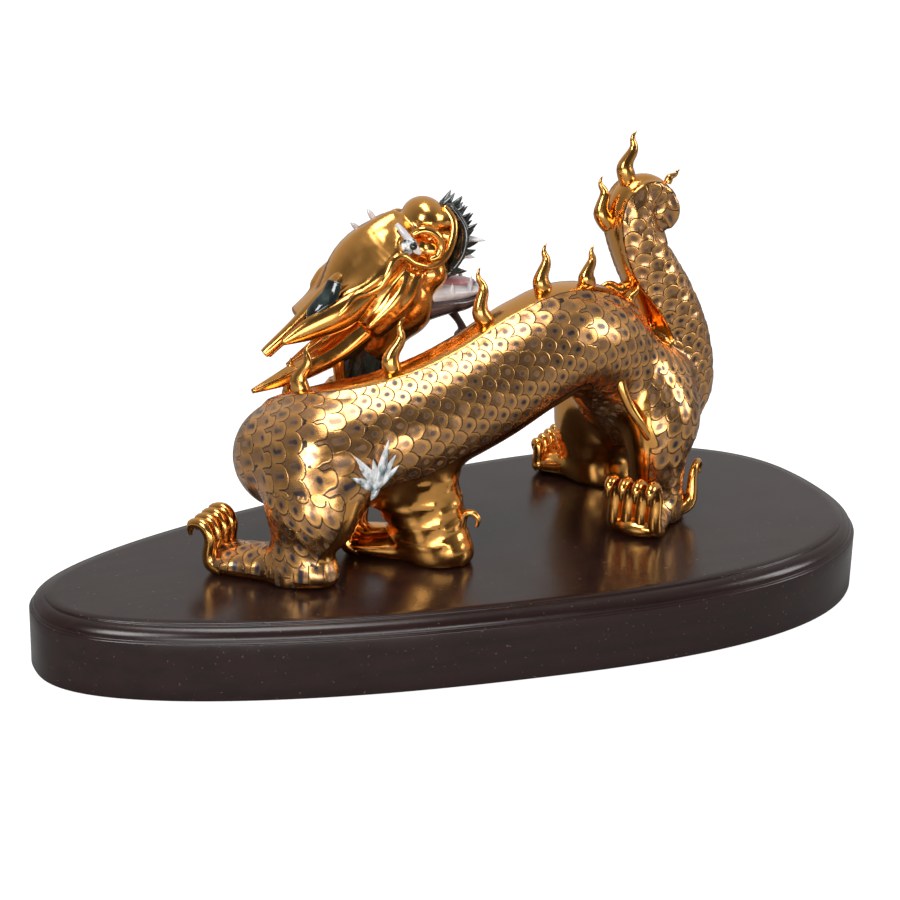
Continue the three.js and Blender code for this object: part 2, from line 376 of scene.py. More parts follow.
def normals_of(points, quads):
    d = np.cross(points[quads[:, 2]] - points[quads[:, 0]], points[quads[:, 3]] - points[quads[:, 1]])
    n = np.zeros_like(points)
    for k in range(4):
        np.add.at(n, quads[:, k], d)
    return unit(n)


def scale_pattern(u, v):
    """Distance to the middle of the scale on top, and how far along it: in scale widths."""
    j0 = np.ceil((v - SCALE_RADIUS) / SCALE_PITCH)
    result = np.ones_like(u)
    lengthways = np.zeros_like(u)
    done = np.zeros(u.shape, bool)
    for k in range(3):
        j = j0 + k
        du = u - 0.5 * np.mod(j, 2)
        du = du - np.round(du)
        dv = v - j * SCALE_PITCH
        d = np.hypot(du, dv)
        hit = (d < SCALE_RADIUS) & ~done
        result[hit] = d[hit]
        lengthways[hit] = dv[hit]
        done |= hit
    return result, lengthways


# ------------------------------------------------------------------ body paths
spine = Path(SPINE, 150, sides=4)


def leg_frame(leg):
    ahead = np.array([math.cos(rad(leg["heading"])), math.sin(rad(leg["heading"])), 0])
    across = np.array([-ahead[1], ahead[0], 0])
    heel = np.array([leg["heel"][0], leg["heel"][1], FLOOR])
    return ahead, across, lambda f, l, z: heel + ahead * f + across * l + np.array([0, 0, z])


def foot_rows(leg):
    _, _, place = leg_frame(leg)
    half, length = leg["width"] / 2, leg["length"]
    shape = [
        (-16, 6, half * 0.5, 7),
        (-9, 8, half * 0.85, 12),
        (4, 9, half * 0.85, 14),
        (length * 0.55, 7, half * 0.92, 11),
        (length * 0.9, 6, half, 9),
        (length, 6, half * 0.9, 6),
    ]
    return [(*place(f, 0, z), a, b) for f, z, a, b in shape]


# -------------------------------------------------------------- body in voxels
LOW, HIGH = (-184, -72, FLOOR - 8), (204, 126, 284)
body_field = Field(LOW, HIGH, BODY_VOXEL).tube(spine)
leg_paths, foot_paths, regions = {}, {}, [body_field]
whole = body_field.blank()
whole.values[:] = body_field.values
for name, leg in LEGS.items():
    ahead, across, place = leg_frame(leg)
    leg_paths[name] = Path(leg["rows"], 26, up=ahead)
    foot_paths[name] = Path(foot_rows(leg), 26)
    upper = body_field.blank().tube(leg_paths[name])
    lower = body_field.blank().tube(foot_paths[name])
    whole.add(upper, 14)
    whole.add(lower, 7)
    regions += [upper, lower]
height = whole.low[2] + whole.voxel * np.arange(whole.size[2])
whole.values = np.maximum(whole.values, (FLOOR - height)[None, None, :].astype(np.float32))

points, quads = whole.mesh()


# -------------------------------------------- where each face takes its scales
THIGH_BAND = [
    (113, -18, 166, 3.2),
    (104, -22, 157, 4),
    (102, -25, 147, 4.2),
    (107, -28, 133, 4),
    (115, -31, 120, 3.6),
    (123, -31, 108, 3.2),
    (135, -30, 102, 2.6),
    (148, -27, 99, 1.6),
]


def wrap(angle):
    return (angle + math.pi) % (2 * math.pi) - math.pi


def body_lay(p):
    index = spine.nearest(p)
    offset = p - spine.at(spine.place, index)
    from_back = np.arctan2(
        (offset * spine.at(spine.side, index)).sum(1),
        (offset * spine.at(spine.up, index)).sum(1),
    )
    from_belly = wrap(from_back - math.pi)
    r = spine.at(spine.across, index)
    row = index / (len(spine.t) - 1) * (len(SPINE) - 1)
    belly = 0.95 * np.clip((row - 11) / 3, 0, 1)
    from_rib = np.abs(from_back) * r - RIB_HALF_WIDTH * np.clip(r / 15, 0.5, 1) * (1 + 0.3 * (row < 11))
    edge = np.minimum(from_rib, (np.abs(from_belly) - belly) * r)
    v = (spine.length[-1] - spine.at(spine.length, index)) / SCALE_WIDTH
    return from_belly * r / SCALE_WIDTH, v, edge, from_rib, row


def leg_lay(name, p):
    leg, path = LEGS[name], leg_paths[name]
    index = path.nearest(p)
    offset = p - path.at(path.place, index)
    facing, reach = leg["inner"]
    a = rad(facing)
    from_inner = wrap(np.arctan2(offset[:, 1], offset[:, 0]) - a)
    r = 0.5 * (path.at(path.across, index) + path.at(path.tall, index))
    edge = (np.abs(from_inner) - rad(reach)) * r
    u = wrap(from_inner - math.pi) * r / SCALE_WIDTH
    return u, path.at(path.length, index) / SCALE_WIDTH * 1.02, edge, index


def foot_lay(name, p):
    leg = LEGS[name]
    ahead, across, place = leg_frame(leg)
    d = p - place(0, 0, 0)
    f, l, z = d @ ahead, d @ across, d[:, 2]
    edge = np.minimum(z - 5, leg["length"] - 3 - f)
    if name in ("far_front", "far_rear"):
        edge = edge * 0 - 6
    if name == "near_rear":
        edge = np.minimum(edge, l + 2)
    return l / SCALE_WIDTH, f / SCALE_WIDTH, edge


reach_to = np.stack([field.sample(points) for field in regions], 1)
reach_to[:, 1] += np.clip((points[:, 2] - 98) * 2, 0, 99)
owner = np.argmin(reach_to, 1)
face_owner = owner[quads[:, 0]]
body_u, body_v, body_edge, from_rib, body_row = body_lay(points)
band_path = Path(THIGH_BAND, 30)
band_gap = np.linalg.norm(points - band_path.at(band_path.place, band_path.nearest(points)), axis=1)
lay_of = {0: (body_u, body_v, body_edge)}
crease = np.zeros(len(points))
for k, name in enumerate(LEGS):
    u, v, edge, index = leg_lay(name, points)
    lay_of[1 + 2 * k] = (u, v, np.minimum(edge, band_gap - 5) if name == "near_rear" else edge)
    lay_of[2 + 2 * k] = foot_lay(name, points)
    if name == "far_front":
        mine = (owner == 1 + 2 * k) & (edge < -2)
        for height in (101, 86, 75, 64):
            bow = points[:, 2] - height - 3 * np.sin(u * 1.2)
            crease[mine] += (0.7 * np.exp(-((bow / 1.8) ** 2)))[mine]

# relief: the rib, the scales, and creases on the smooth inner sides
normal = normals_of(points, quads)
relief = np.zeros(len(points))
on_body = owner == 0
rib_x = (from_rib + RIB_HALF_WIDTH) / RIB_HALF_WIDTH
tail_share = np.clip((11.5 - body_row) / 2, 0, 1)
flat_rib = RIB_HEIGHT * np.clip(1.5 - rib_x, 0, 0.5) * 2
rimmed = 2.2 * np.exp(-(((rib_x - 1) / 0.2) ** 2)) - 1.0 * (rib_x < 0.9)
relief += on_body * np.where(body_row > 23.4, 0, flat_rib * (1 - tail_share) + rimmed * tail_share)
for k, (u, v, edge) in lay_of.items():
    d, _ = scale_pattern(u, v)
    depth = 0.15 + (0.9 * tail_share if k == 0 else 0.25)
    mine = owner == k
    relief[mine] += (depth * (d / SCALE_RADIUS - 0.5) * np.clip(edge / 2, 0, 1))[mine]
relief += crease
relief *= np.clip((points[:, 2] - FLOOR - 0.5) / 3, 0, 1)
points = points + normal * relief[:, None]
points[:, 2] = np.maximum(points[:, 2], FLOOR)

# ------------------------------------------------------------ parts and pieces
GILT, GLAZE, WHITE, PINK, EYE, BROWN, BONE = range(7)


class Build:
    """Collects points, faces, materials and face-corner coordinates for one mesh."""

    def __init__(self):
        self.points, self.faces, self.slots, self.lay, self.count = [], [], [], [], 0

    def add(self, points, faces, slot, lay=None):
        self.points.append(np.asarray(points, float))
        for face in np.asarray(faces):
            self.faces.append(tuple(int(i) + self.count for i in face))
        self.slots += [slot] * len(faces)
        if lay is None:
            lay = np.tile((0.0, 0.0, -9.0), (sum(len(f) for f in faces), 1))
        self.lay.append(lay)
        self.count += len(points)

    def tube(self, rows, sides=12, samples=20, up=(0, 0, 1), slot=GILT, shape=None):
        path = Path(rows, samples, up=up)
        angle = 2 * math.pi * np.arange(sides) / sides
        rings = []
        for i in range(samples):
            grow = 1 if shape is None else shape(angle, path.t[i])
            rings.append(
                path.place[i]
                + np.outer(np.cos(angle) * path.tall[i] * grow, path.up[i])
                + np.outer(np.sin(angle) * path.across[i] * grow, path.side[i])
            )
        pts = np.concatenate(
            rings + [path.place[:1] - path.forward[:1] * 0.2, path.place[-1:] + path.forward[-1:] * 0.3]
        )
        faces = []
        for j in range(sides):
            n = (j + 1) % sides
            for i in range(samples - 1):
                a, b = i * sides, (i + 1) * sides
                faces.append((a + j, a + n, b + n, b + j))
            faces.append((len(pts) - 2, n, j))
            top = (samples - 1) * sides
            faces.append((len(pts) - 1, top + j, top + n))
        self.add_mixed(pts, faces, slot)

    def add_mixed(self, points, faces, slot):
        self.points.append(points)
        self.faces += [tuple(i + self.count for i in f) for f in faces]
        self.slots += [slot] * len(faces)
        self.lay.append(np.tile((0.0, 0.0, -9.0), (sum(len(f) for f in faces), 1)))
        self.count += len(points)

    def object(self, name, materials):
        mesh = bpy.data.meshes.new(name)
        pts = np.concatenate(self.points) / 1000
        mesh.from_pydata(pts.tolist(), [], self.faces)
        mesh.polygons.foreach_set("material_index", np.array(self.slots, np.int32))
        mesh.polygons.foreach_set("use_smooth", np.ones(len(self.faces), bool))
        layer = mesh.attributes.new("lay", "FLOAT_VECTOR", "CORNER")
        layer.data.foreach_set("vector", np.concatenate(self.lay).astype(np.float32).ravel())
        for m in materials:
            mesh.materials.append(m)
        mesh.validate()
        mesh.update()
        obj = bpy.data.objects.new(name, mesh)
        bpy.context.scene.collection.objects.link(obj)
        return obj


dragon = Build()

corner_lay = np.zeros((len(quads), 4, 3))
for k, (u, v, edge) in lay_of.items():
    mine = face_owner == k
    q = quads[mine]
    uu = u[q]
    if k == 0:
        r = spine.at(spine.across, spine.nearest(points[q[:, 0]])) if len(q) else np.zeros(0)
        period = 2 * math.pi * r / SCALE_WIDTH
        uu = uu - np.round((uu - uu[:, :1]) / period[:, None]) * period[:, None]
    corner_lay[mine] = np.stack([uu, v[q], edge[q]], 2)
glazed = body_row > 23.5
corner_glaze = (glazed & (owner == 0))[quads].all(1)
dragon.points.append(points)
dragon.faces += [tuple(q) for q in quads.tolist()]
dragon.slots += np.where(corner_glaze, GLAZE, GILT).tolist()
dragon.lay.append(corner_lay.reshape(-1, 3))
dragon.count += len(points)

# the raised edge of the near thigh
dragon.tube([(x, y, z, r * 0.8, r * 0.55) for x, y, z, r in THIGH_BAND], 12, 40, up=(-0.7, -0.6, -0.3))

# ---------------------------------------------------------------------- flames
def spine_frame(row):
    t = row / (len(SPINE) - 1)
    values = along(SPINE, [t])[0]
    forward = unit(along(SPINE, [min(t + 0.002, 1)])[0][:3] - along(SPINE, [max(t - 0.002, 0)])[0][:3])
    right = np.array([math.cos(rad(values[4])), math.sin(rad(values[4])), 0])
    return values[:3], values[3], forward, unit(np.cross(right, forward))


for row, tall, lean in FLAMES:
    base, r, forward, up = spine_frame(row)
    rise = up * math.cos(rad(lean)) - forward * math.sin(rad(lean))
    bend = -up * math.sin(rad(lean)) - forward * math.cos(rad(lean))
    base = base + up * (r + RIB_HEIGHT - 1)
    girth = min(5.2, tall * 0.24)
    rows = [
        (*(base + rise * s * tall + bend * b * tall), g * girth * 0.85, g * girth)
        for s, b, g in FLAME_SHAPE
    ]
    dragon.tube(rows, 12, 24, up=bend)

# ----------------------------------------------------------------------- claws
for name, leg in LEGS.items():
    ahead, across, place = leg_frame(leg)
    half, length, tall = leg["width"] / 2, leg["length"], leg["claws"]
    curled = 0.25 if name == "far_rear" else 1
    tall *= 0.65 if name == "far_rear" else 1
    claw = [
        (-8, 4, 4.5),
        (-1, 6, 5),
        (1, tall * 0.4, 4.4),
        (0, tall * 0.76, 4.2),
        (5, tall, 3.9),
        (13, tall * 0.97, 3),
        (14, tall * 0.74, 1.2),
    ]
    for i in range(TOES):
        side = -half + 5 + (2 * half - 10) * i / (TOES - 1)
        dragon.tube(
            [(*place(length + f * curled, side, z), g * 1.06, g) for f, z, g in claw],
            10,
            26,
            up=ahead,
        )
    fore, side, high, hook = leg["dewclaw"]
    spur = [
        (0.7, 0.15, 4),
        (0, 0.3, 4.4),
        (-0.2, 0.75, 3.2),
        (-0.4, 0.96, 2.6),
        (-0.8, 1, 2.2),
        (-1.05, 0.9, 1.8),
        (-1, 0.75, 1),
    ]
    rows = [
        (*place(fore + f * hook, side if i else side * 0.6, z * high), g)
        for i, (f, z, g) in enumerate(spur)
    ]
    dragon.tube(rows, 10, 26, up=ahead)

# ------------------------------------------------------------------------ head
MIDDLE = 57  # the head's middle plane


def mirrored(rows):
    return [(r[0], 2 * MIDDLE - r[1], *r[2:]) for r in rows]


BROW = [
    (-70, 38, 203, 3),
    (-62, 34, 209, 4),
    (-50, 32, 214, 4.5),
    (-40, 32, 220, 5),
    (-32, 34, 228, 5),
    (-28, 38, 236, 5),
    (-25, 46, 242, 4.5),
    (-25, 54, 244, 4),
]
head = Field((-96, 18, 144), (52, 96, 270), HEAD_VOXEL)
head.tube(Path(SKULL, 24, up=HEAD_UP))
head.ball((-23, 55, 192), (27, 23, 25), 9)
head.ball((-40, 56, 196), (22, 20, 20), 8)
head.ball((-36, 57, 172), (19, 18, 22), 8)
for points_of in (BROW, mirrored(BROW)):
    head.add(head.blank().tube(Path(points_of, 24)), 5)
head.add(
    head.blank().tube(
        Path([(-24, 57, 248, 3, 3), (-40, 57, 240, 3, 3), (-56, 57, 222, 3, 3), (-66, 57, 206, 2, 2)], 16)
    ),
    7,
)
head.ball((-4, 49, 229), (12, 15, 11), 4)
head.ball((6, 55, 232), (12, 13, 15), 5)
head.ball((-2, 54, 212), (14, 18, 14), 7)
head.ball((-4, 55, 246), (14, 17, 14), 2.5)
head.ball((8, 45, 246), (6, 6, 6), 4)
head.ball((8, 67, 246), (6, 6, 6), 4)
head.cut(head.blank().ball((13, 44, 247), (2.6, 2.6, 2.6)), 1.5)
head.cut(head.blank().ball((-24, 31, 236), (7, 5, 6.5)), 2)
for rows in (
    [(-22, 36, 216, 3), (-29, 33, 205, 3.5), (-38, 33, 194, 3), (-48, 36, 184, 2.5)],
    [(-14, 36, 214, 3), (-22, 33, 202, 3.5), (-32, 34, 191, 3), (-42, 36, 180, 2.5)],
):
    head.add(head.blank().tube(Path(rows, 12)), 5)
    head.add(head.blank().tube(Path(mirrored(rows), 12)), 5)
plate = [
    (-30, 57, 232, 25, 9),
    (-44, 57, 220, 29, 12),
    (-58, 57, 207, 28, 9),
    (-72, 57, 195, 25, 6),
    (-84, 57, 188, 21, 4),
]
head.add(head.blank().tube(Path(plate, 24, up=HEAD_UP)), 5)
head_points, head_quads = head.mesh()
dragon.add(head_points, head_quads, GILT)

WHISKER = [
    (6, 46, 255, 2, 1.6),
    (10, 40, 247, 2.6, 2),
    (8, 36, 236, 2.8, 2.2),
    (1, 33, 225, 2.8, 2.2),
    (-9, 31, 221, 2.6, 2.2),
    (-20, 30, 224, 2.4, 2.2),
    (-29, 29, 230, 2.4, 2.2),
    (-36, 28, 228, 2.6, 2.2),
    (-40, 27, 220, 3, 2.2),
    (-44, 28, 213, 3, 2.2),
    (-52, 29, 209, 2.8, 2.2),
    (-61, 29, 207, 2.6, 2),
    (-68, 28, 200, 2.6, 2),
    (-76, 29, 193, 2.4, 1.8),
    (-88, 30, 187, 2, 1.6),
    (-106, 32, 181, 1, 1),
]
CURL = [
    (-20, 36, 241, 2),
    (-13, 35, 244, 3),
    (-5, 34, 241, 3.4),
    (-1, 34, 234, 3.4),
    (-3, 33, 227, 3),
    (-9, 33, 225, 2),
]
for near, rows in ((True, WHISKER), (False, mirrored(WHISKER))):
    dragon.tube(
        rows if near else [(x, y, z - 4, a, b) for x, y, z, a, b in rows[:11]],
        10,
        90,
        up=(0, -1 if near else 1, 0),
    )
    dragon.tube(CURL if near else mirrored(CURL), 10, 24, up=(0, -1, 0))

STRANDS = [
    [
        (-50, 52, 220, 7),
        (-62, 49, 212, 7),
        (-78, 46, 201, 5.6),
        (-97, 44, 186, 4.2),
        (-112, 44, 174, 3.6),
        (-116, 44, 171, 3),
    ],
    [(-50, 66, 205, 7), (-66, 68, 192, 6), (-87, 68, 177, 4), (-106, 66, 163, 3.2)],
    [(-48, 34, 208, 6, 5), (-66, 31, 197, 10, 4.5), (-88, 31, 189, 8, 3.5), (-108, 32, 181, 2, 1.5)],
    [(-40, 74, 198, 6, 5), (-52, 76, 188, 9, 4.5), (-68, 77, 180, 7, 3.5), (-82, 76, 170, 2, 1.5)],
    [(-48, 50, 178, 12), (-66, 48, 166, 8.5), (-94, 46, 155, 6.5), (-124, 44, 147, 1.5)],
    [(-50, 60, 184, 10), (-66, 60, 172, 6), (-82, 60, 163, 3.5), (-95, 60, 156, 1.2)],
]
for i, rows in enumerate(STRANDS):
    grooves = (lambda a, t: 1 + 0.07 * np.cos(a * 5 + 4 * t)) if i > 3 else None
    dragon.tube(rows, 20 if i > 3 else 14, 30, up=(0, -1, 0), shape=grooves)

PATCH = [
    (-72, 36, 216, 5, 2),
    (-76, 34, 208, 6, 2.4),
    (-83, 33, 203, 5, 2.4),
    (-88, 34, 197, 4, 2),
    (-88, 35, 190, 2.5, 2),
]
dragon.tube(PATCH, 14, 24, up=(-0.6, -0.6, 0.5), slot=GLAZE)
dragon.tube(
    [(-66, 46, 168, 4), (-65, 45, 155, 4), (-64, 45, 140, 3.5), (-66, 46, 132, 3)],
    12,
    20,
    up=(0, -1, 0),
)
dragon.tube(
    [(-29, 40, 248, 1.5), (-25, 35, 242, 2.4), (-20, 32, 234, 2.8), (-16, 32, 230, 1.5)],
    12,
    20,
    up=(0, -1, 0),
    slot=BONE,
)
dragon.tube(
    [(-22, 31, 236, 1), (-22, 29, 236, 2.6), (-22, 27.4, 236, 2), (-22, 27, 236, 0.6)],
    14,
    10,
    up=(0, 0, 1),
    slot=GLAZE,
)

# the eye, the dark fringe behind the nose, the teeth, the jaw and the tongue
dragon.tube(
    [(-23, 37, 235, 3), (-23, 34, 235, 5.6), (-23, 31.5, 235, 5), (-23, 30, 235, 2.5)],
    20,
    14,
    up=(0, 0, 1),
    slot=EYE,
)
FRINGE = [(12, 55, 254, 10, 3), (20, 55, 240, 15, 4), (18, 55, 222, 15, 4), (6, 55, 205, 10, 4)]
dragon.tube(FRINGE, 14, 24, up=(1, 0, 0), slot=GLAZE)
random = np.random.default_rng(7)
fringe_path = Path(FRINGE, 40, up=(1, 0, 0))
for i in range(30):
    t = (i + 0.5) / 30
    index = np.array([t * 39])
    c = fringe_path.at(fringe_path.place, index)[0]
    side = (random.random() * 2 - 1) * fringe_path.at(fringe_path.across, index)[0] * 0.85
    base = c + np.array([0, side, 0])
    way = unit(np.array([1, side * 0.03, 0.9 - 1.5 * t]) + 0.3 * (random.random(3) - 0.5))
    size = 7 + 4 * random.random()
    rows = [
        (*(base - way * 2), 2.6),
        (*(base + way * size * 0.4), 2.2),
        (*(base + way * size + (0, 0, 1.5)), 0.2),
    ]
    dragon.tube(rows, 7, 8, up=(0, 1, 0), slot=GLAZE)
for x, y, z, size, up in (
    (26, 46, 232, 9, (0.8, -0.3, -0.1)),
    (20, 45, 222, 8, (0.9, -0.3, -0.2)),
    (22, 66, 230, 8, (0.8, 0.3, 0)),
    (-39, 80, 236, 6, (-0.7, 0.2, 0.6)),
    (-29, 80, 243, 6, (-0.5, 0.2, 0.8)),
    (26, 46, 199, 8, (0.1, 0, 1)),
    (33, 50, 199, 6, (0.2, 0, 1)),
    (26, 62, 199, 8, (0.1, 0, 1)),
    (12, 43, 198, 6, (0, 0, 1)),
):
    way = unit(up)
    base = np.array([x, y, z])
    dragon.tube(
        [(*(base - way * 3), 2), (*(base + way * size * 0.4), 1.7), (*(base + way * size), 0.3)],
        8,
        8,
        up=(0, 1, 0.1),
        slot=BONE,
    )
dragon.tube(
    [(-14, 54, 188, 17, 12), (8, 54, 189, 14, 8), (24, 54, 189, 11, 6), (38, 54, 192, 7, 3)],
    18,
    24,
    slot=BROWN,
)
dragon.tube(
    [(-10, 54, 197, 14, 9), (8, 54, 197, 13.5, 7), (24, 54, 196, 11, 5), (38, 54, 197, 8, 2)],
    18,
    24,
    slot=BONE,
)
dragon.tube(
    [(-6, 54, 202, 7, 5), (10, 54, 203, 7, 4), (24, 54, 202, 6, 3), (32, 54, 201, 3, 1.5)],
    14,
    20,
    slot=PINK,
)
dragon.tube(
    [(16, 55, 184, 3.5), (22, 55, 176, 2.5), (26, 56, 169, 3), (25, 56, 164, 4.6), (24, 56, 160, 2.5)],
    12,
    20,
    up=(1, 0, 0),
    slot=BROWN,
)

# the tuft at the near elbow
for x, y, z, dx, dy, dz, r in (
    (-76, -47, 110, 4, -6, 30, 2.8),
    (-76, -47, 112, -17, -6, 21, 2.4),
    (-77, -47, 111, -13, -6, 15, 2.2),
    (-77, -47, 110, -18, -6, 10, 2.4),
    (-77, -47, 109, -12, -6, 5, 2.2),
    (-75, -46, 110, 8, -6, 20, 2.2),
    (-75, -46, 110, 10, -6, 13, 2.2),
    (-76, -46, 108, -6, -6, -4, 2.2),
    (-76, -46, 112, -5, -6, 17, 2.2),
):
    base = np.array([x, y, z], float)
    d = np.array([dx, dy, dz], float)
    rows = [
        (*base, r),
        (*(base + d * 0.45), r * 1.05, r * 0.7),
        (*(base + d * 0.8), r * 0.6, r * 0.5),
        (*(base + d * 1.05), 0.2),
    ]
    dragon.tube(rows, 10, 14, up=(0, -1, 0.2), slot=WHITE)


# ------------------------------------------------------------------- materials
class Nodes:
    """Short names for building a material's nodes."""

    def __init__(self, name):
        self.material = bpy.data.materials.new(name)
        self.material.use_nodes = True
        self.tree = self.material.node_tree
        self.tree.nodes.clear()
        self.out = self.tree.nodes.new("ShaderNodeOutputMaterial")
        self.shader = self.tree.nodes.new("ShaderNodeBsdfPrincipled")
        self.tree.links.new(self.shader.outputs[0], self.out.inputs[0])

    def link(self, value, socket):
        if isinstance(value, bpy.types.NodeSocket):
            self.tree.links.new(value, socket)
        else:
            socket.default_value = value

    def math(self, what, a, b=0.0, c=0.0):
        node = self.tree.nodes.new("ShaderNodeMath")
        node.operation = what
        for value, socket in zip((a, b, c), node.inputs):
            self.link(value, socket)
        return node.outputs[0]

    def mix(self, factor, a, b):
        node = self.tree.nodes.new("ShaderNodeMix")
        node.data_type = "RGBA"
        self.link(factor, node.inputs[0])
        self.link((*a, 1) if isinstance(a, tuple) else a, node.inputs[6])
        self.link((*b, 1) if isinstance(b, tuple) else b, node.inputs[7])
        return node.outputs[2]

    def pick(self, factor, a, b):
        node = self.tree.nodes.new("ShaderNodeMix")
        self.link(factor, node.inputs[0])
        self.link(a, node.inputs[2])
        self.link(b, node.inputs[3])
        return node.outputs[0]

    def step(self, value, low, high, to_low=0.0, to_high=1.0):
        node = self.tree.nodes.new("ShaderNodeMapRange")
        node.interpolation_type = "SMOOTHSTEP"
        for v, i in ((value, 0), (low, 1), (high, 2), (to_low, 3), (to_high, 4)):
            self.link(v, node.inputs[i])
        return node.outputs[0]

    def place(self):
        return self.tree.nodes.new("ShaderNodeTexCoord").outputs["Object"]

    def noise(self, scale, detail=3.0, roughness=0.5, at=None, stretch=None):
        node = self.tree.nodes.new("ShaderNodeTexNoise")
        node.inputs["Scale"].default_value = scale
        node.inputs["Detail"].default_value = detail
        node.inputs["Roughness"].default_value = roughness
        at = at or self.place()
        if stretch:
            mapping = self.tree.nodes.new("ShaderNodeMapping")
            mapping.inputs["Scale"].default_value = stretch
            self.tree.links.new(at, mapping.inputs[0])
            at = mapping.outputs[0]
        self.tree.links.new(at, node.inputs["Vector"])
        return node.outputs["Fac"]

    def bump(self, height, distance, strength=1.0):
        node = self.tree.nodes.new("ShaderNodeBump")
        node.inputs["Distance"].default_value = distance
        node.inputs["Strength"].default_value = strength
        self.link(height, node.inputs["Height"])
        self.tree.links.new(node.outputs[0], self.shader.inputs["Normal"])

    def set(self, **values):
        names = dict(
            color="Base Color",
            metallic="Metallic",
            roughness="Roughness",
            coat="Coat Weight",
            coat_roughness="Coat Roughness",
            specular="Specular IOR Level",
        )
        for key, value in values.items():
            if isinstance(value, tuple):
                value = (*value, 1)
            self.link(value, self.shader.inputs[names[key]])


def gilt_material():
    n = Nodes("gilt")
    attribute = n.tree.nodes.new("ShaderNodeAttribute")
    attribute.attribute_name = "lay"
    split = n.tree.nodes.new("ShaderNodeSeparateXYZ")
    n.tree.links.new(attribute.outputs["Vector"], split.inputs[0])
    u, v, edge = split.outputs
    wobble = n.noise(90, 2)
    u = n.math("ADD", u, n.math("MULTIPLY", n.math("SUBTRACT", wobble, 0.5), 0.12))
    v = n.math("ADD", v, n.math("MULTIPLY", n.math("SUBTRACT", n.noise(70, 2, at=n.place()), 0.5), 0.12))
    first = n.math("CEIL", n.math("DIVIDE", n.math("SUBTRACT", v, SCALE_RADIUS), SCALE_PITCH))
    distance, spot = None, None
    for k in (2, 1, 0):
        j = n.math("ADD", first, float(k))
        du = n.math("SUBTRACT", u, n.math("MULTIPLY", n.math("FLOORED_MODULO", j, 2.0), 0.5))
        du = n.math("SUBTRACT", du, n.math("ROUND", du))
        dv = n.math("SUBTRACT", v, n.math("MULTIPLY", j, SCALE_PITCH))
        d = n.math("SQRT", n.math("ADD", n.math("MULTIPLY", du, du), n.math("MULTIPLY", dv, dv)))
        away = n.math("SUBTRACT", dv, 0.16)
        s = n.math("SQRT", n.math("ADD", n.math("MULTIPLY", du, du), n.math("MULTIPLY", away, away)))
        if distance is None:
            distance, spot = d, s
        else:
            inside = n.math("LESS_THAN", d, SCALE_RADIUS)
            distance = n.pick(inside, distance, d)
            spot = n.pick(inside, spot, s)
    outline = n.step(distance, SCALE_RADIUS - 0.085, SCALE_RADIUS - 0.03)
    scaled = n.step(edge, -0.1, 0.3)
    dot = n.step(spot, 0.08, 0.24, 1.0, 0.0)
    patchy = n.noise(60, 4, 0.6)
    gold = n.mix(patchy, (0.72, 0.33, 0.075), (0.88, 0.44, 0.125))
    shade = n.step(distance, 0.22, 0.5, 0.1, 1.0)
    scale_gold = n.mix(shade, (0.50, 0.27, 0.13), (0.86, 0.43, 0.135))
    scale_gold = n.mix(
        n.math("MULTIPLY", dot, n.step(n.noise(35, 2), 0.3, 0.6, 0.45, 1.0)),
        scale_gold,
        (0.03, 0.025, 0.03),
    )
    scale_gold = n.mix(outline, scale_gold, (0.035, 0.02, 0.015))
    rim = n.math("MULTIPLY", n.step(edge, -0.5, -0.1), n.step(edge, 0.1, 0.6, 1.0, 0.0))
    color = n.mix(scaled, gold, scale_gold)
    color = n.mix(n.math("MULTIPLY", rim, 0.9), color, (0.05, 0.025, 0.015))
    dark = n.math("MULTIPLY", scaled, n.math("MAXIMUM", outline, n.math("MULTIPLY", dot, 0.8)))
    n.set(
        color=color,
        metallic=n.step(dark, 0, 1, 1.0, 0.35),
        roughness=n.math(
            "ADD",
            n.step(n.noise(120, 4), 0.3, 0.7, 0.14, 0.22),
            n.math("MULTIPLY", scaled, 0.08),
        ),
    )
    height = n.math(
        "MULTIPLY",
        scaled,
        n.math("SUBTRACT", n.math("MULTIPLY", distance, 1.2), n.math("MULTIPLY", outline, 0.6)),
    )
    height = n.math("ADD", height, n.math("MULTIPLY", n.noise(45, 3), 0.35))
    n.bump(height, 0.0006, 0.5)
    return n.material


def glaze_material(name, low, high, scale, stretch, roughness=0.12):
    n = Nodes(name)
    streak = n.noise(scale, 4, 0.6, stretch=stretch)
    n.set(
        color=n.mix(n.step(streak, 0.35, 0.65), low, high),
        roughness=roughness,
        coat=0.6,
        coat_roughness=0.06,
    )
    n.bump(streak, 0.0008, 0.5)
    return n.material


gilt = gilt_material()
green = glaze_material("green_glaze", (0.003, 0.005, 0.005), (0.022, 0.035, 0.032), 120, (1, 1, 0.35))
white = glaze_material("white_glaze", (0.07, 0.12, 0.13), (0.80, 0.80, 0.80), 150, (1, 1, 0.6), 0.2)
# The bone glaze's grey low colour is painted shade on the white jaw and teeth, laid in patches by the streak
# noise.
bone = glaze_material("bone_white_painted_shade", (0.52, 0.50, 0.52), (0.80, 0.78, 0.80), 60, (1, 1, 0.6), 0.2)
pink = glaze_material("pink_glaze", (0.42, 0.16, 0.18), (0.62, 0.32, 0.34), 90, (1, 1, 1))
eye = glaze_material("eye_glaze", (0.02, 0.03, 0.03), (0.85, 0.87, 0.86), 260, (1, 1, 1))
brown = glaze_material("brown_glaze", (0.025, 0.016, 0.018), (0.09, 0.06, 0.065), 70, (1, 1, 1))

dragon_object = dragon.object("dragon_gilt", [gilt, green, white, pink, eye, brown, bone])
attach(dragon_object, "root")
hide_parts("dragon")


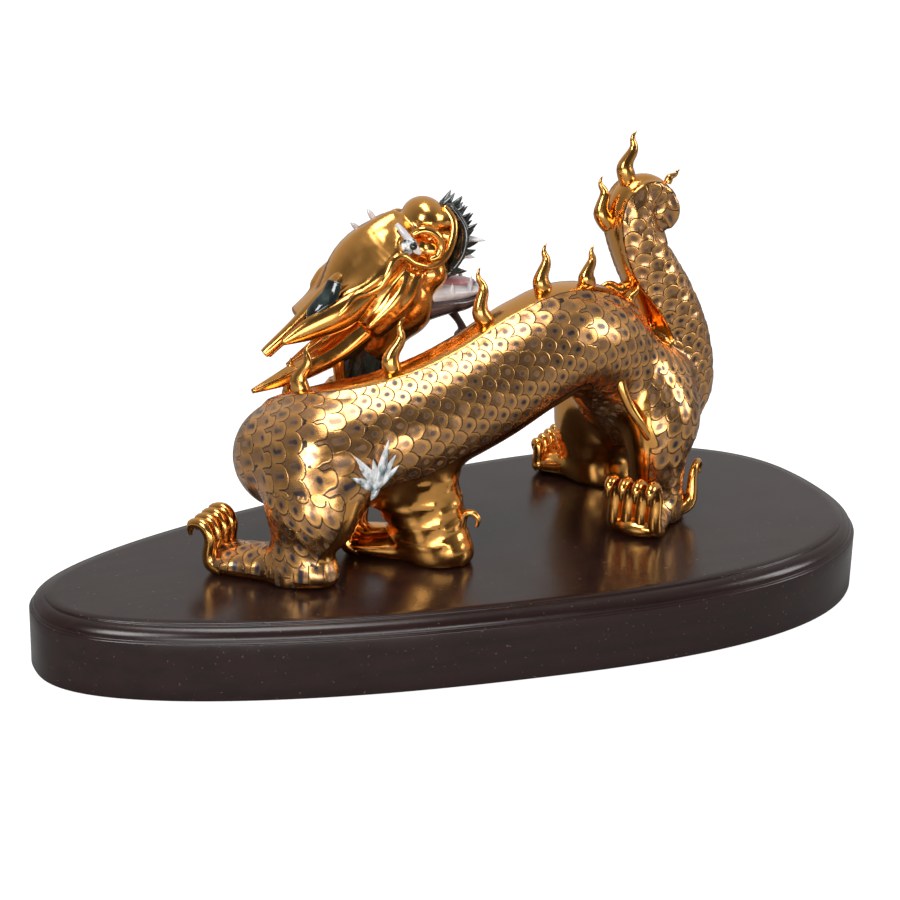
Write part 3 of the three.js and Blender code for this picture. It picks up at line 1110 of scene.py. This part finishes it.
# ---------------------------------------------------------------------- plinth
def outline_points(inset, z, segments):
    def at(a):
        power = 2 / PLINTH_SQUARENESS
        c, s = np.cos(a), np.sin(a)
        x = np.sign(c) * np.abs(c) ** power
        y = np.sign(s) * np.abs(s) ** power * (1 + PLINTH_TAPER * x)
        return np.stack([PLINTH_LENGTH / 2 * x, PLINTH_WIDTH / 2 * y], 1)

    a = 2 * math.pi * (np.arange(segments) + 0.5) / segments
    p, before, after = at(a), at(a - 0.01), at(a + 0.01)
    way = unit(after - before)
    return np.stack([p[:, 0] - inset * way[:, 1], p[:, 1] + inset * way[:, 0], np.full(segments, z)], 1)


def plinth_mesh():
    segments = 320
    levels = [
        (3, 0),
        (1.0, 0.15),
        (0.3, 0.6),
        (0, 1.4),
        (0, 10),
        (0, SIDE_HEIGHT - 8),
        (0, SIDE_HEIGHT - 1.0),
        (0.25, SIDE_HEIGHT - 0.3),
    ]
    levels += [(0.8, SIDE_HEIGHT), (LEDGE - 0.3, SIDE_HEIGHT), (LEDGE, SIDE_HEIGHT + 0.2)]
    top = PLINTH_HEIGHT - 1.5
    for i in range(1, 13):
        turn = math.pi / 2 * i / 12
        levels.append(
            (LEDGE + MOULDING * (1 - math.cos(turn)), SIDE_HEIGHT + (top - SIDE_HEIGHT) * math.sin(turn))
        )
    levels += [
        (LEDGE + MOULDING, top + 0.6),
        (LEDGE + MOULDING + 0.15, PLINTH_HEIGHT - 0.4),
        (LEDGE + MOULDING + 0.7, PLINTH_HEIGHT),
    ]
    levels += [(LEDGE + MOULDING + 6, PLINTH_HEIGHT)]
    rings = [outline_points(inset, z, segments) for inset, z in levels]
    build = Build()
    pts = np.concatenate(rings)
    faces = []
    for i in range(len(rings) - 1):
        a, b = i * segments, (i + 1) * segments
        faces += [(a + j, a + (j + 1) % segments, b + (j + 1) % segments, b + j) for j in range(segments)]
    faces.append(tuple(range(segments))[::-1])
    faces.append(tuple((len(rings) - 1) * segments + j for j in range(segments)))
    build.add_mixed(pts, faces, 0)
    return build


def wood_material():
    n = Nodes("mahogany")
    grain = n.noise(14, 6, 0.65, stretch=(0.6, 9, 9))
    cloud = n.noise(6, 2)
    color = n.mix(n.step(grain, 0.3, 0.7), (0.010, 0.0045, 0.0042), (0.019, 0.0075, 0.0065))
    color = n.mix(n.math("MULTIPLY", cloud, 0.3), color, (0.026, 0.011, 0.009))
    speck = n.step(n.noise(420, 1), 0.73, 0.76)
    n.set(
        color=n.mix(n.math("MULTIPLY", speck, 0.25), color, (0.25, 0.16, 0.12)),
        roughness=n.step(n.noise(30, 3), 0.3, 0.7, 0.2, 0.27),
        specular=0.42,
    )
    n.bump(n.math("ADD", n.math("MULTIPLY", grain, 0.4), n.noise(250, 2)), 0.00012, 0.35)
    return n.material


plinth = plinth_mesh().object("plinth_board", [wood_material()])
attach(plinth, "root")
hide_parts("plinth")

# ------------------------------------------------------------ camera and light
CAMERA_RIGHT = Vector((0.91134, -0.41088, 0.02532))
CAMERA_UP = Vector((0.12370, 0.33199, 0.93514))
CAMERA_AHEAD = Vector((0.39263, 0.84910, -0.35338))
CAMERA_PLACE = Vector((-0.56774, -1.21408, 0.61295))
camera_data = bpy.data.cameras.new("camera")
camera_data.sensor_width = 36
camera_data.lens = 89.6
camera = bpy.data.objects.new("camera", camera_data)
bpy.context.scene.collection.objects.link(camera)
turn = Matrix((CAMERA_RIGHT, CAMERA_UP, -CAMERA_AHEAD)).transposed().to_4x4()
camera.matrix_world = Matrix.Translation(CAMERA_PLACE) @ turn
bpy.context.scene.camera = camera


def area_light(name, place, aim, size, power, color=(1, 1, 1)):
    light = bpy.data.lights.new(name, "AREA")
    light.shape = "RECTANGLE"
    light.size, light.size_y = size
    light.energy = power
    light.color = color
    obj = bpy.data.objects.new(name, light)
    obj.location = place
    obj.rotation_euler = (Vector(aim) - Vector(place)).to_track_quat("-Z", "Y").to_euler()
    bpy.context.scene.collection.objects.link(obj)
    return obj


area_light("key", (-1.1, -0.8, 0.9), (0, 0, 0.15), (0.5, 0.7), 14)
area_light("low", (-0.3, -0.95, 0.14), (0, 0, 0.15), (0.9, 0.2), 4)
area_light("fill", (1.3, -0.7, 0.7), (0, 0, 0.15), (0.4, 0.7), 7)
area_light("top", (-0.1, 0.0, 1.5), (0, 0, 0.1), (0.9, 0.5), 11)

world = bpy.data.worlds.new("world")
world.use_nodes = True
tree = world.node_tree
background = tree.nodes["Background"]
where = tree.nodes.new("ShaderNodeTexCoord")
facing = tree.nodes.new("ShaderNodeVectorMath")
facing.operation = "DOT_PRODUCT"
facing.inputs[1].default_value = (0.42, 0.91, 0.1)
tree.links.new(where.outputs["Generated"], facing.inputs[0])
ramp = tree.nodes.new("ShaderNodeMapRange")
for socket, value in zip(list(ramp.inputs)[1:5], (-0.7, 0.95, 0.06, 0.62)):
    socket.default_value = value
tree.links.new(facing.outputs["Value"], ramp.inputs[0])
background.inputs["Color"].default_value = (1, 0.985, 0.96, 1)
tree.links.new(ramp.outputs[0], background.inputs["Strength"])
bright = tree.nodes.new("ShaderNodeBackground")
bright.inputs["Color"].default_value = (1, 1, 1, 1)
bright.inputs["Strength"].default_value = 1.0
mixer = tree.nodes.new("ShaderNodeMixShader")
path_node = tree.nodes.new("ShaderNodeLightPath")
tree.links.new(path_node.outputs["Is Camera Ray"], mixer.inputs[0])
tree.links.new(background.outputs[0], mixer.inputs[1])
tree.links.new(bright.outputs[0], mixer.inputs[2])
tree.links.new(mixer.outputs[0], tree.nodes["World Output"].inputs[0])
bpy.context.scene.world = world

floor_mesh = bpy.data.meshes.new("floor")
floor_mesh.from_pydata([(-6, -6, 0), (6, -6, 0), (6, 6, 0), (-6, 6, 0)], [], [(0, 1, 2, 3)])
floor = bpy.data.objects.new("floor", floor_mesh)
floor_nodes = Nodes("floor")
floor_nodes.set(color=(0.33, 0.33, 0.33), roughness=0.9)
glow = floor_nodes.tree.nodes.new("ShaderNodeLightPath").outputs["Is Camera Ray"]
floor_nodes.link((1, 1, 1, 1), floor_nodes.shader.inputs["Emission Color"])
floor_nodes.link(floor_nodes.math("MULTIPLY", glow, 0.9), floor_nodes.shader.inputs["Emission Strength"])
floor_mesh.materials.append(floor_nodes.material)
bpy.context.scene.collection.objects.link(floor)
floor.location.z = -0.0005

bpy.context.scene.view_settings.view_transform = "Standard"
